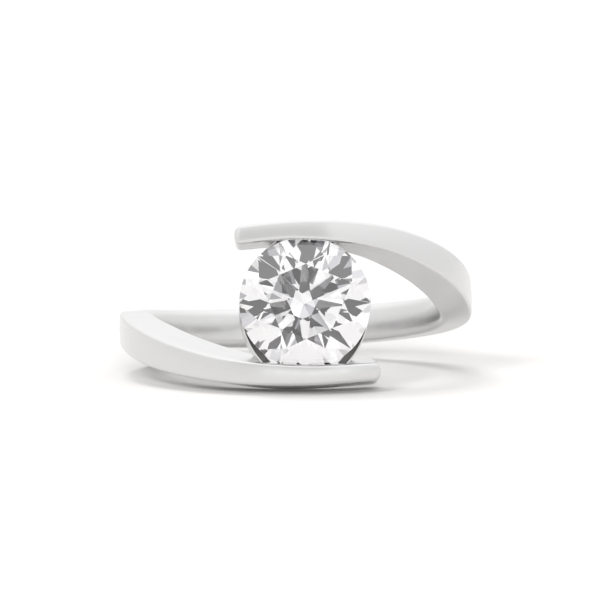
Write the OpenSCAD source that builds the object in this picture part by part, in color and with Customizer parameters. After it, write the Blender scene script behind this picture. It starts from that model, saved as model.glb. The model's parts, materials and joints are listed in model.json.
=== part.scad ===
// Bypass engagement ring: one band whose two ends pass above and below a round
// brilliant stone and grip its girdle. It lies on its side, as a ring does when
// it is set down, so the wide head leans it back a few degrees.
//
// The shapes are drawn in the ring's own frame: the finger hole runs along Z and
// the stone looks along -Y. The last step leans the ring and sets it on Z = 0.

/* [Finger hole] */
// Diameter of the finger hole
finger_d = 16.5; // [15.6:0.1:17.4]
// How far the hole's rounded edge reaches out along the side wall
comfort_depth = 0.35; // [0.25:0.05:0.45]
// How far the hole's rounded edge reaches in across the band
comfort_width = 0.32; // [0.2:0.02:0.36]

/* [Band] */
// Height of the crown of the band's outer face
face_crown = 0.07; // [0.02:0.01:0.12]
// Radius of the outer face's two long edges
edge_r = 0.2; // [0.1:0.02:0.26]
// Angle past the stone's middle at which the upper arm ends
upper_tip_angle = 18.4; // [16:0.2:22]
// Angle past the stone's middle at which the lower arm ends
lower_tip_angle = 20.4; // [16:0.2:22]
// Angle over which an arm rounds off to its tip
tip_round_angle = 3.2; // [2:0.2:4]
// How square to the viewer the arms' ends are cut: 0 is towards the finger axis
tip_square = 0.83; // [0.6:0.01:1]

/* [Stone] */
// Diameter of the stone's girdle
stone_d = 7.4; // [7.2:0.05:7.6]
// Distance from the finger hole's axis to the middle of the girdle
stone_seat = 11.9; // [11.8:0.05:12]
// Thickness of the girdle
girdle_t = 0.2; // [0.14:0.02:0.26]
// Table width, as a share of the girdle's diameter
table_share = 0.57; // [0.53:0.01:0.62]
// Slope of the crown's main facets, in degrees
crown_slope = 34.5; // [32:0.5:36]
// Slope of the pavilion's main facets, in degrees
pavilion_slope = 40.8; // [40:0.2:41.4]

/* [Setting] */
// Gap between the stone and the metal that holds it
seat_gap = 0.05; // [0.03:0.01:0.08]
// Width of the oval collar below the stone
collar_width = 7.2; // [7:0.05:7.3]
// Length of the oval collar, from point to point
collar_length = 9.4; // [9:0.1:9.6]
// Wall thickness of the collar
collar_wall = 0.25; // [0.2:0.05:0.35]
// How far the collar reaches down from the stone's girdle
collar_depth = 2.4; // [2:0.1:3]
// How far each end of the collar is sunk into its arm
collar_sunk = 0.6; // [0.4:0.05:0.8]

/* [Hidden] */

bore_r = finger_d / 2;
stone_r = stone_d / 2;

// The band along its half turn from the stone to the back: angle round the
// finger from the stone, lift of the middle line, width, outer radius
BAND = [
    [-20, 3.79, 0.94, 12.20],
    [  0, 4.09, 1.16, 12.45],
    [ 20, 3.79, 1.40, 12.10],
    [ 40, 2.93, 1.74, 11.45],
    [ 60, 1.86, 1.98, 10.84],
    [ 80, 0.90, 1.96, 10.30],
    [100, 0.48, 1.98, 10.00],
    [135, 0.22, 2.14,  9.94],
    [180, 0.00, 2.24,  9.94]
];
ANGLE = 0;
LIFT = 1;
WIDTH = 2;
RADIUS = 3;
last_row = len(BAND) - 1;

// Past the back the band repeats the rows in reverse, with the lift turned over
function row(i) =
    i < 0 ? 2 * BAND[0] - BAND[1] :
    i <= last_row ? BAND[i] :
    let (r = row(2 * last_row - i)) [360 - r[ANGLE], -r[LIFT], r[WIDTH], r[RADIUS]];

function row_before(a, i = 0) =
    i >= 2 * last_row - 1 || row(i + 1)[ANGLE] > a ? i : row_before(a, i + 1);

// A smooth curve through one column of the rows, at angle a
function slope_at(i, col) =
    (row(i + 1)[col] - row(i - 1)[col]) / (row(i + 1)[ANGLE] - row(i - 1)[ANGLE]);
function band_at(a, col) =
    let (
        i = row_before(a),
        span = row(i + 1)[ANGLE] - row(i)[ANGLE],
        t = (a - row(i)[ANGLE]) / span,
        start = row(i)[col],
        stop = row(i + 1)[col],
        out = slope_at(i, col) * span,
        in = slope_at(i + 1, col) * span
    )
    start + t * (out + t * (3 * (stop - start) - 2 * out - in
        + t * (2 * (start - stop) + out + in)));

// How much of the section is left at angle a, where an arm rounds to its tip
first_angle = -upper_tip_angle;
final_angle = 360 + lower_tip_angle;
function tip_left(a) =
    let (s = max(0, 1 - min(a - first_angle, final_angle - a) / tip_round_angle))
    sqrt(1 - 0.96 * s * s);

// The band's section at angle a, as [distance from the finger axis, height]
face_steps = 4;
corner_steps = 3;
inner_steps = 3;
bore_overlap = 0.15;
function section(a) =
    let (
        left = tip_left(a),
        half = band_at(a, WIDTH) / 2 * left,
        edge = edge_r * left,
        comfort = comfort_width * left,
        outer = band_at(a, RADIUS) - 0.4 * (1 - left),
        flat = half - edge,
        shoulder = outer - face_crown * left,
        inner_mid = bore_r + comfort_depth,
        inner_reach = comfort_depth + bore_overlap,
        face = [for (i = [-face_steps + 1:face_steps - 1])
            let (s = i / face_steps) [outer - face_crown * left * s * s, flat * s]],
        corner = [for (i = [0:corner_steps])
            let (c = 90 * i / corner_steps)
            [shoulder - edge + edge * cos(c), flat + edge * sin(c)]],
        inner = [for (i = [0:inner_steps])
            let (c = 90 * i / inner_steps)
            [inner_mid - inner_reach * sin(c), half - comfort + comfort * cos(c)]]
    )
    concat(face, corner, inner, mirrored(inner), mirrored(corner));
function mirrored(side) = [for (i = [len(side) - 1:-1:0]) [side[i][0], -side[i][1]]];

// Where a point of the section at angle a lies, at a distance from the finger
// axis. Past the stone's middle the sections turn square to the viewer.
function placed(a, distance) =
    let (
        spread = a < 0 || a > 360 ? tip_square * (band_at(a, RADIUS) - distance) : 0,
        x = (distance + spread) * sin(a)
    )
    [x, spread > 0 ? -sqrt(distance * distance - x * x) : -distance * cos(a)];

// Angles of the sections: close together in the tips, even in between
tip_steps = 6;
arm_steps = 92;
body_start = first_angle + tip_round_angle;
body_end = final_angle - tip_round_angle;
section_angles = concat(
    [for (i = [0:tip_steps - 1])
        body_start - tip_round_angle * cos(90 * i / tip_steps)],
    [for (i = [0:arm_steps]) body_start + (body_end - body_start) * i / arm_steps],
    [for (i = [tip_steps - 1:-1:0])
        body_end + tip_round_angle * cos(90 * i / tip_steps)]
);

// Points are kept to a thousandth of a millimetre
function to_micron(p) = [for (v = p) round(1000 * v) / 1000];
band_points = [for (a = section_angles)
    let (lift = band_at(a, LIFT))
    for (p = section(a)) let (xy = placed(a, p[0])) to_micron([xy[0], xy[1], lift + p[1]])];
side_points = len(section(90));
band_faces = concat(
    [[for (j = [side_points - 1:-1:0]) j]],
    [for (i = [0:len(section_angles) - 2], j = [0:side_points - 1], half = [0, 1])
        let (
            k = (j + 1) % side_points,
            near = i * side_points,
            far = near + side_points
        )
        half == 0 ? [near + j, far + k, far + j] : [near + j, near + k, far + k]],
    [[for (j = [0:side_points - 1]) (len(section_angles) - 1) * side_points + j]]
);

// Stone heights, measured outwards from the middle of its girdle
culet_r = 0.04;
table_r = stone_r * table_share;
crown_h = (stone_r - table_r) * tan(crown_slope);
table_h = girdle_t / 2 + crown_h;
culet_h = girdle_t / 2 + (stone_r - culet_r) * tan(pavilion_slope);

// The points where the cutter's star facets and lower girdle facets end lie
// between the table or the culet and the girdle
star_share = 0.5;
lower_share = 0.22;
facet_turn = 45;
half_facet = facet_turn / 2;
function main_facet_h(r, slope) = girdle_t / 2 + (stone_r - r * cos(half_facet)) * tan(slope);
table_flat_r = table_r * cos(half_facet);
star_r = table_flat_r + (stone_r - table_flat_r) * star_share;
star_h = main_facet_h(star_r, crown_slope);
lower_r = stone_r * lower_share;
lower_h = main_facet_h(lower_r, pavilion_slope);

// Points of one half of the stone. Each is [x, y, height]: eight corners of its
// flat, eight joins of its facets, and the outline of its girdle.
facet_steps = 4;
outline_steps = 16 * facet_steps;
function round_points(count, r, h, first) = [for (k = [0:count - 1])
    let (a = first + k * 360 / count) [r * cos(a), r * sin(a), h]];
function girdle_h(step, join_r, join_h) =
    let (
        middle = half_facet / 2,
        a = half_facet * (step % facet_steps) / facet_steps,
        slope = (join_h - girdle_t / 2) / ((stone_r - join_r) * cos(middle))
    )
    girdle_t / 2 - stone_r * (cos(a - middle) - cos(middle)) * slope;
function half_points(flat_r, flat_h, join_r, join_h) = concat(
    round_points(8, flat_r, flat_h, 0),
    round_points(8, join_r, join_h, half_facet),
    [for (i = [0:outline_steps - 1])
        let (p = round_points(outline_steps, stone_r, 0, 0)[i])
        [p[0], p[1], girdle_h(i, join_r, join_h)]]
);
joins_start = 8;
rim_start = 16;
half_size = rim_start + outline_steps;

// Faces of the half that looks up: its flat, then by turns a facet that joins
// two corners, a main facet and two girdle facets
function rim(i) = rim_start + i % outline_steps;
half_faces = concat(
    [[for (k = [7:-1:0]) k]],
    [for (k = [0:7])
        let (
            next = (k + 1) % 8,
            join = joins_start + k,
            last_join = joins_start + (k + 7) % 8,
            foot = 2 * facet_steps * k
        )
        for (facet = [
            [k, next, join],
            [k, join, rim(foot), last_join],
            concat(join, [for (i = [facet_steps:-1:0]) rim(foot + i)]),
            concat(join, [for (i = [2 * facet_steps:-1:facet_steps]) rim(foot + i)])
        ]) facet]
);
function turned_over(face) = [for (i = [len(face) - 1:-1:0]) half_size + face[i]];
stone_faces = concat(
    half_faces,
    [for (face = half_faces) turned_over(face)],
    [for (i = [0:outline_steps - 1])
        [rim(i), rim(i + 1), half_size + rim(i + 1), half_size + rim(i)]]
);
stone_points = concat(
    half_points(table_r, table_h, star_r, star_h),
    [for (p = half_points(culet_r, culet_h, lower_r, lower_h)) [p[0], p[1], -p[2]]]
);

// Rest pose: the line under the head and the back of the band turns level
head_low = band_at(2, LIFT) + band_at(2, WIDTH) / 2;
back_low = band_at(180, WIDTH) / 2;
head_reach = band_at(2, RADIUS) - face_crown - edge_r;
back_reach = band_at(180, RADIUS) - face_crown - edge_r;
rest_lean = atan((head_low - back_low) / (head_reach + back_reach));

function leaned(p) = [
    p[0],
    p[1] * cos(rest_lean) + p[2] * sin(rest_lean),
    p[2] * cos(rest_lean) - p[1] * sin(rest_lean)
];
table_edge = [for (p = round_points(8, table_r, 0, 0)) leaned([p[0], -stone_seat - table_h, p[1]])];
outline = concat([for (p = band_points) leaned(p)], table_edge);
function reach(axis, points) = [for (p = points) p[axis]];
left_x = min(reach(0, outline));
right_x = max(reach(0, outline));
front_y = min(reach(1, outline));
back_y = max(reach(1, outline));
low_z = min(reach(2, outline));

module rest_pose() {
    translate([-(left_x + right_x) / 2, -(front_y + back_y) / 2, -low_z])
        rotate([-rest_lean, 0, 0])
            children();
}

// Turns a shape made round Z so that it stands on the stone's axis, with Z = 0
// in the middle of the girdle and Z up towards the viewer
module on_stone_axis() {
    translate([0, -stone_seat, 0])
        rotate([90, 0, 0])
            children();
}

// The collar's outline: two arcs that meet in a point at each arm
module collar_outline(inset) {
    arc_r = (pow(collar_length / 2, 2) + pow(collar_width / 2, 2)) / collar_width;
    intersection_for (side = [-1, 1])
        translate([side * (arc_r - collar_width / 2), 0])
            circle(r = arc_r - inset, $fn = 160);
}

module collar() {
    top_h = -girdle_t / 2 - seat_gap;
    sunk_length = 2 * (band_at(0, LIFT) - band_at(0, WIDTH) / 2 + collar_sunk);
    on_stone_axis()
        translate([0, 0, -collar_depth])
            linear_extrude(collar_depth + top_h)
                intersection() {
                    difference() {
                        collar_outline(0);
                        collar_outline(collar_wall);
                    }
                    square([collar_width, sunk_length], center = true);
                }
}

// The room that the stone takes, with its gap all round
module stone_seat_cut() {
    girdle_r = stone_r + seat_gap;
    girdle_half = girdle_t / 2 + seat_gap;
    on_stone_axis()
        rotate_extrude($fn = 96)
            polygon([
                [0, -girdle_half - girdle_r * tan(pavilion_slope)],
                [girdle_r, -girdle_half],
                [girdle_r, girdle_half],
                [girdle_r / 2, girdle_half + girdle_r / 2 * tan(crown_slope)],
                [0, girdle_half + girdle_r / 2 * tan(crown_slope)]
            ]);
}

// The hole goes right through. Its round wall starts and ends under the stone,
// where both arms end, so it is one stretch from there to there.
module finger_hole() {
    hole_length = 4 * head_low;
    rotate([0, 0, -90])
        cylinder(h = hole_length, r = bore_r, center = true, $fn = 128);
}

module bypass_band() {
    color("gainsboro")
        rest_pose()
            difference() {
                union() {
                    polyhedron(band_points, band_faces, convexity = 6);
                    collar();
                }
                finger_hole();
                stone_seat_cut();
            }
}

module center_stone() {
    color("white")
        rest_pose()
            on_stone_axis()
                polyhedron([for (p = stone_points) to_micron(p)], stone_faces, convexity = 2);
}

bypass_band();
center_stone();
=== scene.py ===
"""Bypass engagement ring: polished white gold band, oval collar and round brilliant stone.

Metal pieces are modelled at one unit to a millimetre, in the ring's own frame: the finger
hole runs along Z and the stone looks along -Y. The last step leans them into the rest pose.
"""
import json
from math import asin, cos, degrees, pi, radians, sin, tan

import bmesh
import bpy
from mathutils import Matrix, Vector


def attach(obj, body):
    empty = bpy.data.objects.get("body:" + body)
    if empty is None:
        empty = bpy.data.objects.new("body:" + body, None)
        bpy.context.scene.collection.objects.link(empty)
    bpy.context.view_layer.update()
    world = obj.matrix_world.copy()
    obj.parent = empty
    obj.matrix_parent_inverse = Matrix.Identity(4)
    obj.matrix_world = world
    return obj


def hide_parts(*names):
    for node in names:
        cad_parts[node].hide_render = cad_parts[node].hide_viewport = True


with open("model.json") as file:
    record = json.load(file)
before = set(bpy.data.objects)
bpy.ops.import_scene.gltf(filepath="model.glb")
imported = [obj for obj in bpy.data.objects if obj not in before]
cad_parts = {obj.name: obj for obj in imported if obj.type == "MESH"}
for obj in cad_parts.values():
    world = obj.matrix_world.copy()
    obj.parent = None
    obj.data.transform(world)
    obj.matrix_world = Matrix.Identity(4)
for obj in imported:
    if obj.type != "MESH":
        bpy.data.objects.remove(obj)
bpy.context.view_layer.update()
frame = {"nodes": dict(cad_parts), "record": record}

# Rest pose: the finger hole's middle and the ring's lean
MM = 0.001
hole_mount = frame["record"]["mounts"][0]
RING_CENTRE = Vector(hole_mount["pos_m"])
REST_LEAN = asin(hole_mount["axis"][1])

# Finger hole: its radius, its rounded edges and the slight crown of its wall
HOLE_RADIUS = 8.25
COMFORT_ROUND = 0.44
COMFORT_STEPS = 6
COMFORT_CROWN = 0.07

# Outer face: its rounded edges, its crown, and its tilt towards the viewer at the stone
EDGE_ROUND = 0.2
EDGE_STEPS = 5
FACE_CROWN = 0.035
FACE_TILT = radians(4)

# How far the wall that faces the stone leans in at the finger hole
UPPER_UNDERCUT = 0.1
LOWER_UNDERCUT = 0.55

# Tips: where each arm ends, past the stone's middle, and how square to the viewer it is cut
UPPER_TIP_ANGLE = 19.2
LOWER_TIP_ANGLE = 21
UPPER_TIP_SQUARE = 0.64
LOWER_TIP_SQUARE = 0.8
# The last stretch of an arm rounds off: its length in degrees, how full the curve is, the
# share of the section that is left at the end, and how far the outer face drops there
TIP_ROUND_ANGLE = 2.4
TIP_FULL = 2.5
TIP_LEFT = 0.35
TIP_FLATTEN = 0.4

# Band along its half turn from the stone to the back: angle round the finger from the
# stone, lift of the middle line, width, outer radius
BAND = [
    (-20, 3.84, 1.04, 12.20),
    (0, 4.09, 1.16, 12.45),
    (20, 3.79, 1.40, 12.10),
    (40, 2.93, 1.74, 11.45),
    (60, 1.86, 1.98, 10.84),
    (80, 0.90, 1.96, 10.30),
    (100, 0.48, 1.98, 10.00),
    (135, 0.22, 2.14, 9.94),
    (180, 0.00, 2.24, 9.94),
]
ANGLE, LIFT, WIDTH, RADIUS = range(4)
LAST_ROW = len(BAND) - 1
FIRST_ANGLE = -UPPER_TIP_ANGLE
FINAL_ANGLE = 360 + LOWER_TIP_ANGLE

# The band is first a straight bar: X runs along it, Y from its outer face to the hole, Z is
# its lift. BAR_MIDDLE is the Y between the bar's outer and inner points.
BEND_RADIUS = 10
ALONG = BEND_RADIUS * pi / 180
BAR_MIDDLE = 0.9
BAR_HOLE_SIDE = BEND_RADIUS - HOLE_RADIUS
TIP_STEPS = 9
ARM_STEP = 1.8

# Stone and its seat
STONE_RADIUS = 3.7
STONE_SEAT = 11.9
GIRDLE = 0.2
CROWN_SLOPE = radians(34.5)
PAVILION_SLOPE = radians(40.8)
SEAT_GAP = 0.05
SEAT_POINTS = 128
SEAT_CROWN_LEFT = 0.5
SEAT_POINT_LEFT = 0.01

# Oval collar below the stone
COLLAR_WIDTH = 7.25
COLLAR_LENGTH = 9.0
COLLAR_DEPTH = 2.4
COLLAR_DROP = 0.3
COLLAR_SUNK = 0.6
COLLAR_WALL = 0.45
COLLAR_RIM = 0.1
COLLAR_RIM_DEEP = 0.1
COLLAR_RIM_ROUND = 0.03
COLLAR_RIM_STEPS = 2
COLLAR_LEDGE_DEEP = 0.35
COLLAR_POINTS = 256
# How much a face of the collar turns inwards before it gets the cast skin with its painted
# shade
COLLAR_PAINTED_SHADE_TURN = 0.15

# Distances that count as none, and angles that count as an edge
SAME_PLACE = 0.005
SAME_LINE = 0.0002
WELD = 0.002
BEVEL_ANGLE = radians(60)
SMOOTH_ANGLE = radians(30)


# Help with selecting
def only_object(piece):
    """Makes one object the selected and active one."""
    bpy.ops.object.select_all(action="DESELECT")
    piece.select_set(True)
    bpy.context.view_layer.objects.active = piece


def select_points(test):
    """In edit mode, selects the points that pass the test, and what they bound."""
    mesh = bmesh.from_edit_mesh(bpy.context.object.data)
    for vert in mesh.verts:
        vert.select = test(vert)
    mesh.select_flush(False)
    mesh.select_flush(True)


def apply_modifier(piece, kind, **settings):
    only_object(piece)
    modifier = piece.modifiers.new(kind.title(), kind)
    for name, value in settings.items():
        setattr(modifier, name, value)
    bpy.ops.object.modifier_apply(modifier=modifier.name)


# The band's rows, read as smooth curves
def row(i):
    """Row i. Past the back the rows repeat in reverse, with the lift turned over."""
    if i < 0:
        return [2 * a - b for a, b in zip(BAND[0], BAND[1])]
    if i <= LAST_ROW:
        return BAND[i]
    angle, lift, width, radius = row(2 * LAST_ROW - i)
    return [360 - angle, -lift, width, radius]


def slope_at(i, column):
    before, after = row(i - 1), row(i + 1)
    return (after[column] - before[column]) / (after[ANGLE] - before[ANGLE])


def band_at(angle, column):
    """One column of the rows at an angle, on a curve through them."""
    i = 0
    while i < 2 * LAST_ROW - 1 and row(i + 1)[ANGLE] <= angle:
        i += 1
    start, stop = row(i), row(i + 1)
    span = stop[ANGLE] - start[ANGLE]
    t = (angle - start[ANGLE]) / span
    rise = stop[column] - start[column]
    leave, arrive = slope_at(i, column) * span, slope_at(i + 1, column) * span
    bent = 3 * rise - 2 * leave - arrive + t * (leave + arrive - 2 * rise)
    return start[column] + t * (leave + t * bent)


def tip_left(angle):
    """Share of the section that is left where an arm rounds off to its tip."""
    past = max(0, 1 - min(angle - FIRST_ANGLE, FINAL_ANGLE - angle) / TIP_ROUND_ANGLE)
    return (1 - (1 - TIP_LEFT ** TIP_FULL) * past ** TIP_FULL) ** (1 / TIP_FULL)


def inner_angle(angle, outer):
    """Angle of the hole's edge, which lags where an arm is cut square to the viewer."""
    if 0 <= angle <= 360:
        return angle
    turn, square = (0, UPPER_TIP_SQUARE) if angle < 0 else (360, LOWER_TIP_SQUARE)
    reach = HOLE_RADIUS + square * (outer - HOLE_RADIUS)
    return turn + degrees(asin(reach * sin(radians(angle)) / HOLE_RADIUS))


# The band as a straight bar
def station(angle):
    """The bar's sizes at an angle: where its two edges are, its middle and its height."""
    left = tip_left(angle)
    full_radius = band_at(angle, RADIUS)
    half = band_at(angle, WIDTH) / 2
    raised = band_at(angle, LIFT) / BAND[1][LIFT]
    return {
        "outer_x": angle * ALONG,
        "inner_x": inner_angle(angle, full_radius) * ALONG,
        "outer_y": BEND_RADIUS - full_radius + FACE_CROWN + TIP_FLATTEN * (1 - left),
        "middle": band_at(angle, LIFT),
        "half": half,
        "left": left,
        "tilt": tan(FACE_TILT) * raised * half * left,
        "undercut": raised * (UPPER_UNDERCUT if raised > 0 else LOWER_UNDERCUT),
    }


def station_angles():
    """Angles of the bar's sections, close together where an arm rounds to its tip."""
    body_start, body_end = FIRST_ANGLE + TIP_ROUND_ANGLE, FINAL_ANGLE - TIP_ROUND_ANGLE
    body = body_end - body_start
    arm_steps = round(body / ARM_STEP)
    rounding = [TIP_ROUND_ANGLE * cos(pi / 2 * i / TIP_STEPS) for i in range(TIP_STEPS)]
    return (
        [body_start - r for r in rounding]
        + [body_start + body * i / arm_steps for i in range(arm_steps + 1)]
        + [body_end + r for r in reversed(rounding)]
    )


def draw_section(here):
    """The bar's first section: a plane with crowned edges and rounded corners."""
    depth = BAR_HOLE_SIDE - here["outer_y"]
    bpy.ops.mesh.primitive_plane_add(size=1, rotation=(pi / 2, 0, pi / 2))
    bar = bpy.context.object
    bpy.ops.object.transform_apply(location=False, rotation=True, scale=False)
    bpy.ops.object.mode_set(mode="EDIT")
    bpy.ops.transform.resize(value=(1, depth, 2 * here["half"]))
    bpy.ops.transform.translate(value=(0, BAR_HOLE_SIDE - depth / 2, here["middle"]))
    bpy.ops.mesh.select_mode(type="VERT")
    # The outer edge: two rounded corners, and a middle point that is drawn out
    select_points(lambda v: v.co.y < here["outer_y"] + depth / 2)
    bpy.ops.mesh.bevel(offset=EDGE_ROUND, segments=EDGE_STEPS, affect="VERTICES")
    select_points(lambda v: v.co.y < here["outer_y"] + SAME_LINE)
    bpy.ops.mesh.subdivide(number_cuts=1)
    select_points(lambda v: abs(v.co.z - here["middle"]) < SAME_LINE)
    bpy.ops.transform.translate(value=(0, -FACE_CROWN, 0))
    # The inner edge: the same, but its sides are drawn back and its middle stays
    select_points(lambda v: v.co.y > BAR_HOLE_SIDE - SAME_LINE)
    bpy.ops.mesh.bevel(offset=COMFORT_ROUND, segments=COMFORT_STEPS, affect="VERTICES")
    select_points(lambda v: v.co.y > BAR_HOLE_SIDE - SAME_LINE)
    bpy.ops.mesh.subdivide(number_cuts=1)
    select_points(
        lambda v: v.co.y > BAR_MIDDLE and abs(v.co.z - here["middle"]) > SAME_PLACE)
    bpy.ops.transform.translate(value=(0, -COMFORT_CROWN, 0))
    return bar


def newest_points():
    """Points of the newest section, which an extrusion leaves selected."""
    mesh = bmesh.from_edit_mesh(bpy.context.object.data)
    mesh.verts.index_update()
    return [vert.index for vert in mesh.verts if vert.select]


def select_members(members):
    select_points(lambda v: v.index in members)


def corners_of(members, middle):
    """The section's points by corner: are they at the hole, and above or below the middle."""
    mesh = bmesh.from_edit_mesh(bpy.context.object.data)
    mesh.verts.ensure_lookup_table()
    corners = {}
    for i in members:
        point = mesh.verts[i].co
        lifted = point.z - middle
        side = 0 if abs(lifted) < SAME_PLACE else 1 if lifted > 0 else -1
        corners.setdefault((point.y > BAR_MIDDLE, side), set()).add(i)
    return corners


def move_points(members, by):
    select_members(members)
    bpy.ops.transform.translate(value=by)


def half_height(here, inner, side):
    """From the middle to a corner. At the hole, the wall that faces the stone leans in."""
    return here["half"] + (max(0, -side * here["undercut"]) if inner else 0)


def make_bar():
    """Extrudes the section along the bar, and at each step moves its corners and crowns."""
    angles = station_angles()
    last = station(angles[0])
    bar = draw_section(last)
    bpy.ops.mesh.select_all(action="SELECT")
    bpy.ops.transform.resize(value=(1, 1, last["left"]), center_override=(0, 0, last["middle"]))
    members = newest_points()
    for (inner, side), corner in corners_of(members, last["middle"]).items():
        along = last["inner_x"] if inner else last["outer_x"]
        tilted = 0 if inner else side * last["tilt"]
        wider = side * (half_height(last, inner, side) - last["half"]) * last["left"]
        move_points(corner, (along, tilted, wider))
    for angle in angles[1:]:
        here = station(angle)
        select_members(members)
        bpy.ops.mesh.extrude_region_move(
            TRANSFORM_OT_translate={"value": (0, 0, here["middle"] - last["middle"])})
        members = newest_points()
        share = here["left"] / last["left"]
        if share != 1:
            bpy.ops.transform.resize(
                value=(1, 1, share), center_override=(0, 0, here["middle"]))
        for (inner, side), corner in corners_of(members, here["middle"]).items():
            edge = "inner_x" if inner else "outer_x"
            tilted = side * (here["tilt"] - last["tilt"])
            deeper = 0 if inner else here["outer_y"] - last["outer_y"] + tilted
            taller = half_height(here, inner, side) - half_height(last, inner, side)
            move_points(corner, (here[edge] - last[edge], deeper, side * taller * here["left"]))
        last = here
    bpy.ops.object.mode_set(mode="OBJECT")
    return bar


def make_band():
    """Bends the bar round the finger, so that angle 0 looks along -Y."""
    band = make_bar()
    band.name = "bypass_band_polished"
    bpy.context.view_layer.update()
    apply_modifier(band, "SIMPLE_DEFORM", deform_method="BEND", deform_axis="Z",
                   angle=band.dimensions.x / BEND_RADIUS)
    band.location.y = -BEND_RADIUS
    bpy.ops.object.transform_apply(location=True, rotation=False, scale=False)
    return band


# Oval collar between the arms
def make_collar():
    """Two curved walls below the stone, each with a thin rim round a ledge.

    One wall is drawn and mirrored. Its ends are sunk into the arms.
    """
    arc_radius = ((COLLAR_LENGTH / 2) ** 2 + (COLLAR_WIDTH / 2) ** 2) / COLLAR_WIDTH
    centre_x = arc_radius - COLLAR_WIDTH / 2
    half_span = band_at(0, LIFT) - band_at(0, WIDTH) / 2 + COLLAR_SUNK
    top_y = GIRDLE / 2 + SEAT_GAP + COLLAR_RIM_DEEP - STONE_SEAT
    ledge_y = top_y + COLLAR_LEDGE_DEEP
    bottom_y = COLLAR_DEPTH - STONE_SEAT
    bpy.ops.mesh.primitive_circle_add(
        vertices=COLLAR_POINTS, radius=arc_radius, location=(centre_x, top_y, 0),
        rotation=(pi / 2, 0, 0))
    collar = bpy.context.object
    bpy.ops.object.transform_apply(location=True, rotation=True, scale=True)
    bpy.ops.object.mode_set(mode="EDIT")
    cuts = [
        ((0, 0, 0), (1, 0, 0)),
        ((0, 0, half_span), (0, 0, 1)),
        ((0, 0, -half_span), (0, 0, -1)),
    ]
    for point, normal in cuts:
        bpy.ops.mesh.select_all(action="SELECT")
        bpy.ops.mesh.bisect(plane_co=point, plane_no=normal, clear_outer=True)
    bpy.ops.mesh.select_all(action="SELECT")
    # Round the wall's section: how far in from the outside, and the place along Y
    section = [
        (COLLAR_RIM, top_y),
        (COLLAR_RIM, ledge_y),
        (COLLAR_WALL, ledge_y),
        (COLLAR_WALL, bottom_y),
        (0, bottom_y),
        (0, top_y),
    ]
    last_in, last_y = 0, top_y
    for step_in, step_y in section:
        bpy.ops.mesh.extrude_region_move(
            TRANSFORM_OT_translate={"value": (0, step_y - last_y, 0)})
        share = (arc_radius - step_in) / (arc_radius - last_in)
        bpy.ops.transform.resize(value=(share, 1, share), center_override=(centre_x, 0, 0))
        last_in, last_y = step_in, step_y
    bpy.ops.mesh.select_all(action="SELECT")
    bpy.ops.mesh.remove_doubles(threshold=WELD)
    bpy.ops.mesh.fill_holes(sides=0)
    bpy.ops.mesh.select_all(action="SELECT")
    bpy.ops.mesh.normals_make_consistent(inside=False)
    bpy.ops.object.mode_set(mode="OBJECT")
    apply_modifier(collar, "BEVEL", width=COLLAR_RIM_ROUND, segments=COLLAR_RIM_STEPS,
                   limit_method="ANGLE", angle_limit=BEVEL_ANGLE)
    apply_modifier(collar, "MIRROR", use_axis=(True, False, False))
    collar.location.z = -COLLAR_DROP
    bpy.ops.object.transform_apply(location=True, rotation=False, scale=False)
    return collar


def make_seat_cutter():
    """The room that the stone takes: a disc round its girdle and a cone on each side."""
    reach = STONE_RADIUS + SEAT_GAP
    girdle_half = GIRDLE / 2 + SEAT_GAP
    bpy.ops.mesh.primitive_cylinder_add(
        vertices=SEAT_POINTS, radius=reach, depth=2 * girdle_half,
        location=(0, -STONE_SEAT, 0), rotation=(pi / 2, 0, 0))
    cutter = bpy.context.object
    bpy.ops.object.transform_apply(location=True, rotation=True, scale=True)
    bpy.ops.object.mode_set(mode="EDIT")
    cones = [
        (-1, reach / 2 * tan(CROWN_SLOPE), SEAT_CROWN_LEFT),
        (1, reach * tan(PAVILION_SLOPE), SEAT_POINT_LEFT),
    ]
    for side, height, share in cones:
        flat_y = side * girdle_half - STONE_SEAT
        select_points(lambda v: abs(v.co.y - flat_y) < SAME_PLACE)
        bpy.ops.mesh.extrude_region_move(
            TRANSFORM_OT_translate={"value": (0, side * height, 0)})
        bpy.ops.transform.resize(value=(share, 1, share), center_override=(0, flat_y, 0))
    bpy.ops.mesh.select_all(action="SELECT")
    bpy.ops.mesh.normals_make_consistent(inside=False)
    bpy.ops.object.mode_set(mode="OBJECT")
    return cutter


def combine(piece, tool, operation):
    """Joins a tool to the piece or cuts it out of the piece. The tool is used up."""
    apply_modifier(piece, "BOOLEAN", object=tool, operation=operation, solver="EXACT")
    bpy.data.objects.remove(tool)


def set_in_frame(piece):
    """Turns a piece to the rest pose, in metres."""
    piece.matrix_world = (
        Matrix.Translation(RING_CENTRE)
        @ Matrix.Rotation(-REST_LEAN, 4, "X")
        @ Matrix.Scale(MM, 4))
    only_object(piece)
    bpy.ops.object.transform_apply(location=True, rotation=True, scale=True)


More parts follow.
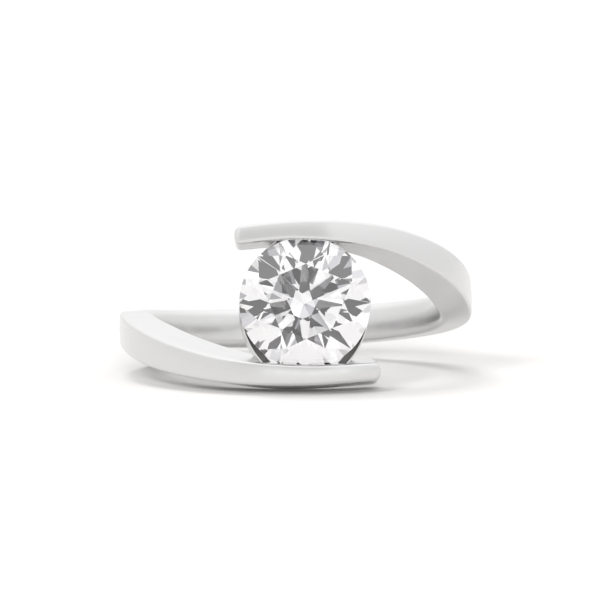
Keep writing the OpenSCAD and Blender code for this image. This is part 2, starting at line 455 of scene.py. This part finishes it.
def make_polished_band(polished, cast_with_painted_shade):
    """The whole cast piece. The seat and the collar's inside get the cast skin: rougher,
    darkened as painted shade.
    """
    band, collar, cutter = make_band(), make_collar(), make_seat_cutter()
    for piece in (band, collar, cutter):
        piece.data.materials.append(polished)
        piece.data.materials.append(cast_with_painted_shade)
    # The seat gets the cast skin, whose dark colour is painted shade
    for face in cutter.data.polygons:
        face.material_index = 1
    # So do the collar's faces that turn inwards below the rim: painted shade in the recess
    rim_y = GIRDLE / 2 + SEAT_GAP + COLLAR_RIM_DEEP + COLLAR_RIM_ROUND - STONE_SEAT
    for face in collar.data.polygons:
        inwards = Vector((-face.center.x, -1, -face.center.z - COLLAR_DROP)).normalized()
        in_painted_shade = face.center.y > rim_y and face.normal.dot(inwards) > COLLAR_PAINTED_SHADE_TURN
        face.material_index = 1 if in_painted_shade else 0
    combine(band, collar, "UNION")
    combine(band, cutter, "DIFFERENCE")
    only_object(band)
    bpy.ops.object.mode_set(mode="EDIT")
    bpy.ops.mesh.select_all(action="SELECT")
    bpy.ops.mesh.remove_doubles(threshold=WELD)
    bpy.ops.mesh.normals_make_consistent(inside=False)
    bpy.ops.object.mode_set(mode="OBJECT")
    bpy.ops.object.shade_smooth_by_angle(angle=SMOOTH_ANGLE)
    apply_modifier(band, "WEIGHTED_NORMAL", keep_sharp=True)
    set_in_frame(band)
    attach(band, "root")
    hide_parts("bypass_band")


# Materials: pairs of colours, noise in repeats to a metre with its detail, roughness from
# and to, and bumps by strength and height in metres
# The cast skin's two dark colours are painted shade for the seat and the collar's inside
CAST_PAINTED_SHADE_COLOURS = (0.16, 0.158, 0.155, 1), (0.28, 0.277, 0.272, 1)
CAST_GRAIN = 3000, 3
CAST_ROUGHNESS = 0.5
CAST_BUMP = 0.2, 0.00003
POLISHED_COLOURS = (0.68, 0.675, 0.67, 1), (0.66, 0.66, 0.662, 1)
POLISHED_HAZE = 260, 2
POLISHED_WEAR = 1400, 4
POLISHED_ROUGHNESS = 0.2, 0.26
POLISHED_WAVES = 500, 2
POLISHED_BUMP = 0.05, 0.00005
NOISE_RANGE = 0.3, 0.7
# The diamond's faint lilac tint is painted light: it stands in for the coloured fire of
# dispersion
DIAMOND_PAINTED_FIRE_COLOURS = (1, 1, 1, 1), (0.985, 0.975, 1, 1)
DIAMOND_DRIFT = 300, 2
DIAMOND_IOR = 2.42
# Sockets of the Mix node for colours
MIX_SHARE, MIX_FIRST, MIX_LAST, MIX_RESULT = 0, 6, 7, 2


def new_material(name):
    material = bpy.data.materials.new(name)
    material.use_nodes = True
    return material, material.node_tree.nodes["Principled BSDF"]


def add_node(material, kind, **values):
    """Adds a shader node. A value names an input socket, or else a setting of the node."""
    node = material.node_tree.nodes.new(kind)
    for name, value in values.items():
        socket = node.inputs.get(name.replace("_", " "))
        if socket:
            socket.default_value = value
        else:
            setattr(node, name, value)
    return node


def link(material, output, socket):
    material.node_tree.links.new(output, socket)


def calculate(material, operation, *terms):
    """A Math node. Each term is a number or another node's output."""
    node = add_node(material, "ShaderNodeMath", operation=operation)
    for term, socket in zip(terms, node.inputs):
        if isinstance(term, bpy.types.NodeSocket):
            link(material, term, socket)
        else:
            socket.default_value = term
    return node.outputs["Value"]


def spread(material, value, start, end, first=0, last=1):
    """Runs evenly from first to last while the value goes from start to end."""
    node = add_node(material, "ShaderNodeMapRange",
                    From_Min=start, From_Max=end, To_Min=first, To_Max=last)
    link(material, value, node.inputs["Value"])
    return node.outputs["Result"]


def blend(material, share, first, last):
    """One colour where the share is 0, and the other where it is 1."""
    node = add_node(material, "ShaderNodeMix", data_type="RGBA")
    node.inputs[MIX_FIRST].default_value = first
    node.inputs[MIX_LAST].default_value = last
    link(material, share, node.inputs[MIX_SHARE])
    return node.outputs[MIX_RESULT]


def object_noise(material, scale, detail):
    """Noise on Object coordinates, with scale in repeats to a metre."""
    place = add_node(material, "ShaderNodeTexCoord")
    noise = add_node(material, "ShaderNodeTexNoise", Scale=scale, Detail=detail)
    link(material, place.outputs["Object"], noise.inputs["Vector"])
    return noise.outputs["Fac"]


def add_bump(material, surface, height, strength, distance):
    bump = add_node(material, "ShaderNodeBump", Strength=strength, Distance=distance)
    link(material, height, bump.inputs["Height"])
    link(material, bump.outputs["Normal"], surface.inputs["Normal"])


def white_gold_cast_painted_shade():
    """Cast skin in the seat, rougher where no polishing wheel reaches, its dark colour painted
    shade.
    """
    material, surface = new_material("white_gold_cast_skin_painted_shade")
    surface.inputs["Metallic"].default_value = 1
    surface.inputs["Roughness"].default_value = CAST_ROUGHNESS
    grain = object_noise(material, *CAST_GRAIN)
    link(material, blend(material, grain, *CAST_PAINTED_SHADE_COLOURS), surface.inputs["Base Color"])
    add_bump(material, surface, grain, *CAST_BUMP)
    return material


def white_gold():
    """Polished white gold: near even, with faint polishing waves and fine wear."""
    material, surface = new_material("white_gold_polished")
    surface.inputs["Metallic"].default_value = 1
    haze = object_noise(material, *POLISHED_HAZE)
    link(material, blend(material, haze, *POLISHED_COLOURS), surface.inputs["Base Color"])
    wear = object_noise(material, *POLISHED_WEAR)
    polish = spread(material, wear, *NOISE_RANGE, *POLISHED_ROUGHNESS)
    link(material, polish, surface.inputs["Roughness"])
    waves = object_noise(material, *POLISHED_WAVES)
    add_bump(material, surface, waves, *POLISHED_BUMP)
    return material


def diamond():
    """Clear diamond with a faint lilac tint drifting through it, painted light for the stone's
    coloured fire.
    """
    material, surface = new_material("diamond_polished")
    surface.inputs["Transmission Weight"].default_value = 1
    surface.inputs["IOR"].default_value = DIAMOND_IOR
    surface.inputs["Roughness"].default_value = 0
    drift = object_noise(material, *DIAMOND_DRIFT)
    link(material, blend(material, drift, *DIAMOND_PAINTED_FIRE_COLOURS), surface.inputs["Base Color"])
    return material


def finish_with(piece, material):
    piece.data.materials.clear()
    piece.data.materials.append(material)


# Camera: the photograph is 600 x 600 pixels, and RING_PIXEL is the ring's centre in it
PHOTO_PIXELS = 600
RING_PIXEL = (294.8, 317.1)
PIXELS_PER_METRE = 17310
CAMERA_AZIMUTH = radians(2.8)
CAMERA_ELEVATION = radians(5.4)
CAMERA_DISTANCE = 0.420
CAMERA_REACH = 20
SENSOR_MM = 36


def towards_camera():
    return Vector((
        -sin(CAMERA_AZIMUTH) * cos(CAMERA_ELEVATION),
        -cos(CAMERA_AZIMUTH) * cos(CAMERA_ELEVATION),
        sin(CAMERA_ELEVATION)))


def add_camera():
    direction = towards_camera()
    bpy.ops.object.camera_add(location=RING_CENTRE + direction * CAMERA_DISTANCE)
    camera = bpy.context.object
    camera.rotation_euler = direction.to_track_quat("Z", "Y").to_euler()
    camera.data.sensor_width = SENSOR_MM
    camera.data.lens = PIXELS_PER_METRE * CAMERA_DISTANCE / PHOTO_PIXELS * SENSOR_MM
    camera.data.shift_x = 0.5 - RING_PIXEL[0] / PHOTO_PIXELS
    camera.data.shift_y = RING_PIXEL[1] / PHOTO_PIXELS - 0.5
    camera.data.clip_end = CAMERA_REACH
    bpy.context.scene.camera = camera


# Studio floor, and the light of the room: walls, ceiling, and behind the ring
FLOOR_SIZE = 6
FLOOR_PLACE = (0, 1.5, 0)
FLOOR_WHITE = (0.42, 0.415, 0.41, 1)
WALL_LIGHT = 0.97
CEILING_LIGHT = 1.45
BACK_LIGHT = 1.05

# Lamps for the floor's shadows, in degrees: how far to the left of straight ahead, height
# above the floor and width, and then the power
LAMPS = {
    "light_front_low": (0, 12, 17, 6.5),
    "light_front_left": (28, 26, 18, 3.6),
    "light_overhead": (140, 70, 24, 1.3),
}

# Cards in front of the ring: for each edge, the degrees where the card begins to show and
# where it is full. Left of straight ahead is minus; low and high are above the floor.
STONE_CARD = {"left": (-55, -25), "right": (23, 16), "low": (0, 5), "high": (55, 38)}
METAL_CARD = {"left": (-60, -50), "right": (24.5, 22.5), "low": (9, 11), "high": (38, 30)}
LOW_PANEL = {"left": (-36, -28), "right": (42, 34), "low": (-10, -9), "high": (11, 8)}
STONE_CARD_DARK = 0.96
METAL_CARD_DARK = 0.25
LOW_PANEL_BRIGHT = 0.35
PLAIN_WHITE = (1, 1, 1, 1)
STONE_TINT = (0.95, 0.925, 1, 1)
STONE_SPARKLE = 1.15


def add_floor():
    bpy.ops.mesh.primitive_plane_add(size=FLOOR_SIZE, location=FLOOR_PLACE)
    floor = bpy.context.object
    floor.name = "studio_floor"
    bpy.ops.object.transform_apply(location=True, rotation=True, scale=True)
    material, surface = new_material("floor_matte_white")
    surface.inputs["Base Color"].default_value = FLOOR_WHITE
    surface.inputs["Roughness"].default_value = 1
    surface.inputs["Specular IOR Level"].default_value = 0
    finish_with(floor, material)


def add_lamps():
    """Far, soft lights, which light the floor alone: no surface mirrors them."""
    for name, (turn, rise, width, power) in LAMPS.items():
        bpy.ops.object.light_add(type="SUN")
        lamp = bpy.context.object
        lamp.name = name
        lamp.rotation_euler = (pi / 2 - radians(rise), 0, -radians(turn))
        lamp.data.angle = radians(width)
        lamp.data.energy = power
        lamp.visible_transmission = False
        lamp.visible_glossy = False


def card(world, turn, rise, edges, seen_by):
    """1 inside a card of the room and 0 outside it, for the rays that see it."""
    inside = seen_by
    for side, angle in (("left", turn), ("right", turn), ("low", rise), ("high", rise)):
        clear, full = edges[side]
        fade = spread(world, angle, radians(clear), radians(full))
        inside = calculate(world, "MULTIPLY", inside, fade)
    return inside


def set_world():
    """White room, brighter overhead.

    Rays through the stone see a dark card in front. All other rays see a paler card and,
    near the floor, a brighter panel.
    """
    world = bpy.data.worlds.new("studio_white")
    world.use_nodes = True
    background = world.node_tree.nodes["Background"]
    place = add_node(world, "ShaderNodeTexCoord")
    parts = add_node(world, "ShaderNodeSeparateXYZ")
    link(world, place.outputs["Generated"], parts.inputs["Vector"])
    ahead = calculate(world, "MULTIPLY", parts.outputs["Y"], -1)
    turn = calculate(world, "ARCTAN2", parts.outputs["X"], ahead)
    rise = calculate(world, "ARCSINE", parts.outputs["Z"])
    through_stone = add_node(world, "ShaderNodeLightPath").outputs["Is Transmission Ray"]
    outside_stone = calculate(world, "SUBTRACT", 1, through_stone)
    stone_card = card(world, turn, rise, STONE_CARD, through_stone)
    metal_card = card(world, turn, rise, METAL_CARD, outside_stone)
    low_panel = card(world, turn, rise, LOW_PANEL, outside_stone)
    light = spread(world, parts.outputs["Z"], 0, 1, WALL_LIGHT, CEILING_LIGHT)
    changes = [
        spread(world, parts.outputs["Y"], -1, 1, 1, BACK_LIGHT),
        spread(world, stone_card, 0, 1, 1, 1 - STONE_CARD_DARK),
        spread(world, metal_card, 0, 1, 1, 1 - METAL_CARD_DARK),
        spread(world, low_panel, 0, 1, 1, 1 + LOW_PANEL_BRIGHT),
        spread(world, through_stone, 0, 1, 1, STONE_SPARKLE),
    ]
    for change in changes:
        light = calculate(world, "MULTIPLY", light, change)
    link(world, light, background.inputs["Strength"])
    tint = blend(world, stone_card, PLAIN_WHITE, STONE_TINT)
    link(world, tint, background.inputs["Color"])
    bpy.context.scene.world = world


bpy.ops.object.select_all(action="DESELECT")
make_polished_band(white_gold(), white_gold_cast_painted_shade())
finish_with(frame["nodes"]["center_stone"], diamond())
add_camera()
add_floor()
add_lamps()
set_world()
bpy.context.scene.view_settings.view_transform = "Standard"
